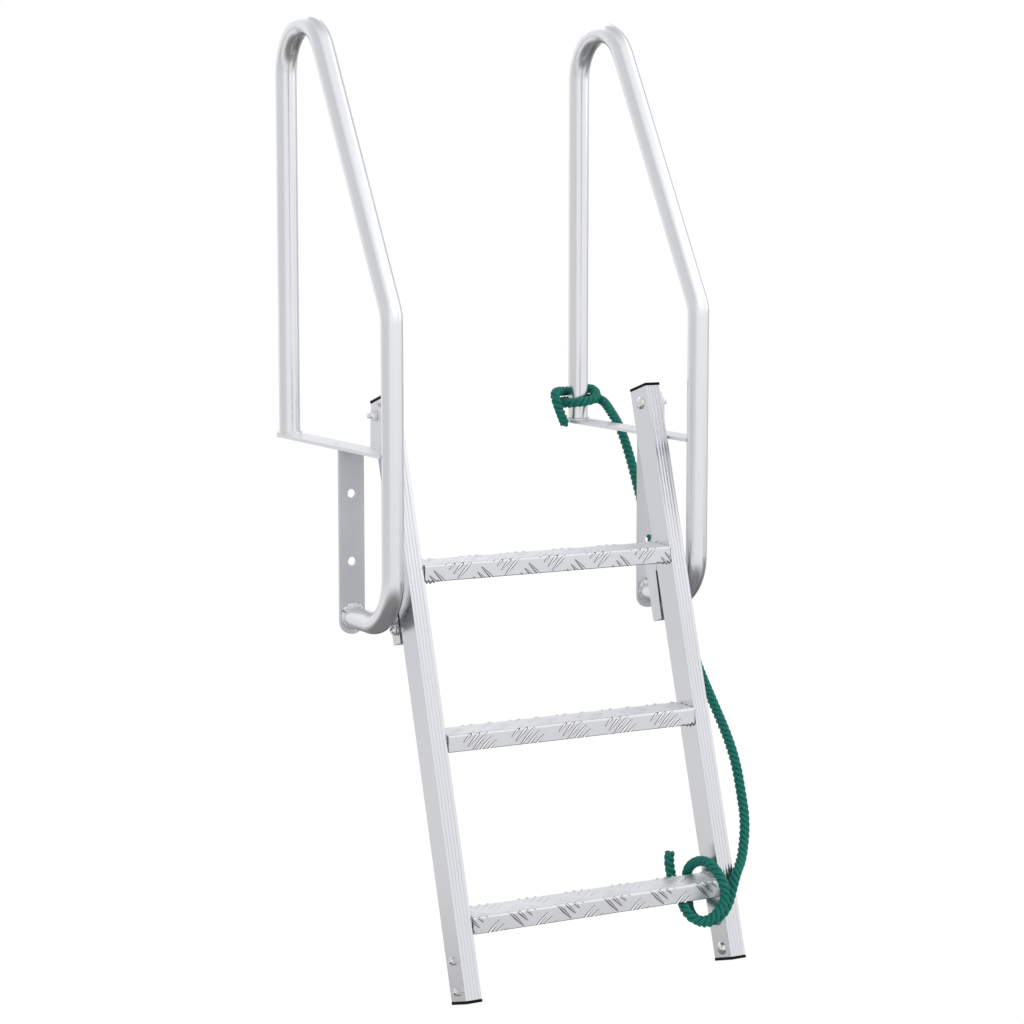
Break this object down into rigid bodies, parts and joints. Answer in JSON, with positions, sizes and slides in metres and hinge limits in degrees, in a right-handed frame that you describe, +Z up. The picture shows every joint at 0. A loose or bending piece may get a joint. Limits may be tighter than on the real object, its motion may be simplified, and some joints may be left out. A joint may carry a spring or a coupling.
{
  "type": "dock ladder",
  "caption": "Folding aluminium dock ladder with bent tube handrails, chequer plate steps and a green rope tied to one rail.",
  "frame": {"origin": "on the dock side face of the left dock plate, on the plate's centre line, level with the deck", "axes": "+X across the ladder from left rail to right rail, +Y from the water towards the dock, +Z up"},
  "size_m": [0.564, 0.5817, 1.3937],
  "materials": {
    "aluminium": "satin anodised",
    "bright_steel": "bright zinc plated",
    "black_plastic": "moulded black",
    "white_nylon": "nylon",
    "green_rope": "three strand laid rope"
  },
  "bodies": {
    "rails": {"left_deck_strap": "aluminium", "left_dock_plate": "aluminium", "left_handrail": "aluminium", "left_pivot_lug": "aluminium", "right_deck_strap": "aluminium", "right_dock_plate": "aluminium", "right_handrail": "aluminium", "right_pivot_lug": "aluminium", "rope_hitch": "green_rope", "rope_run": "green_rope"},
    "ladder": {"bottom_step": "aluminium", "left_foot_bolts": "bright_steel", "left_foot_cap": "black_plastic", "left_pivot_bolt": "bright_steel", "left_pivot_nut": "bright_steel", "left_pivot_spacer": "white_nylon", "left_stop_bolt": "bright_steel", "left_stop_bracket": "aluminium", "left_stringer": "aluminium", "left_top_cap": "black_plastic", "middle_step": "aluminium", "right_foot_bolts": "bright_steel", "right_foot_cap": "black_plastic", "right_pivot_bolt": "bright_steel", "right_pivot_nut": "bright_steel", "right_pivot_spacer": "white_nylon", "right_stop_bolt": "bright_steel", "right_stop_bracket": "aluminium", "right_stringer": "aluminium", "right_top_cap": "black_plastic", "rope_step_loop": "green_rope", "top_step": "aluminium"}
  },
  "joints": [
    {"name": "ladder_fold", "type": "hinge", "parent": "rails", "child": "ladder", "pos_m": [0.254, -0.055, 0.053], "axis": [-1, 0, 0], "range_deg": [0, 166]}
  ]
}
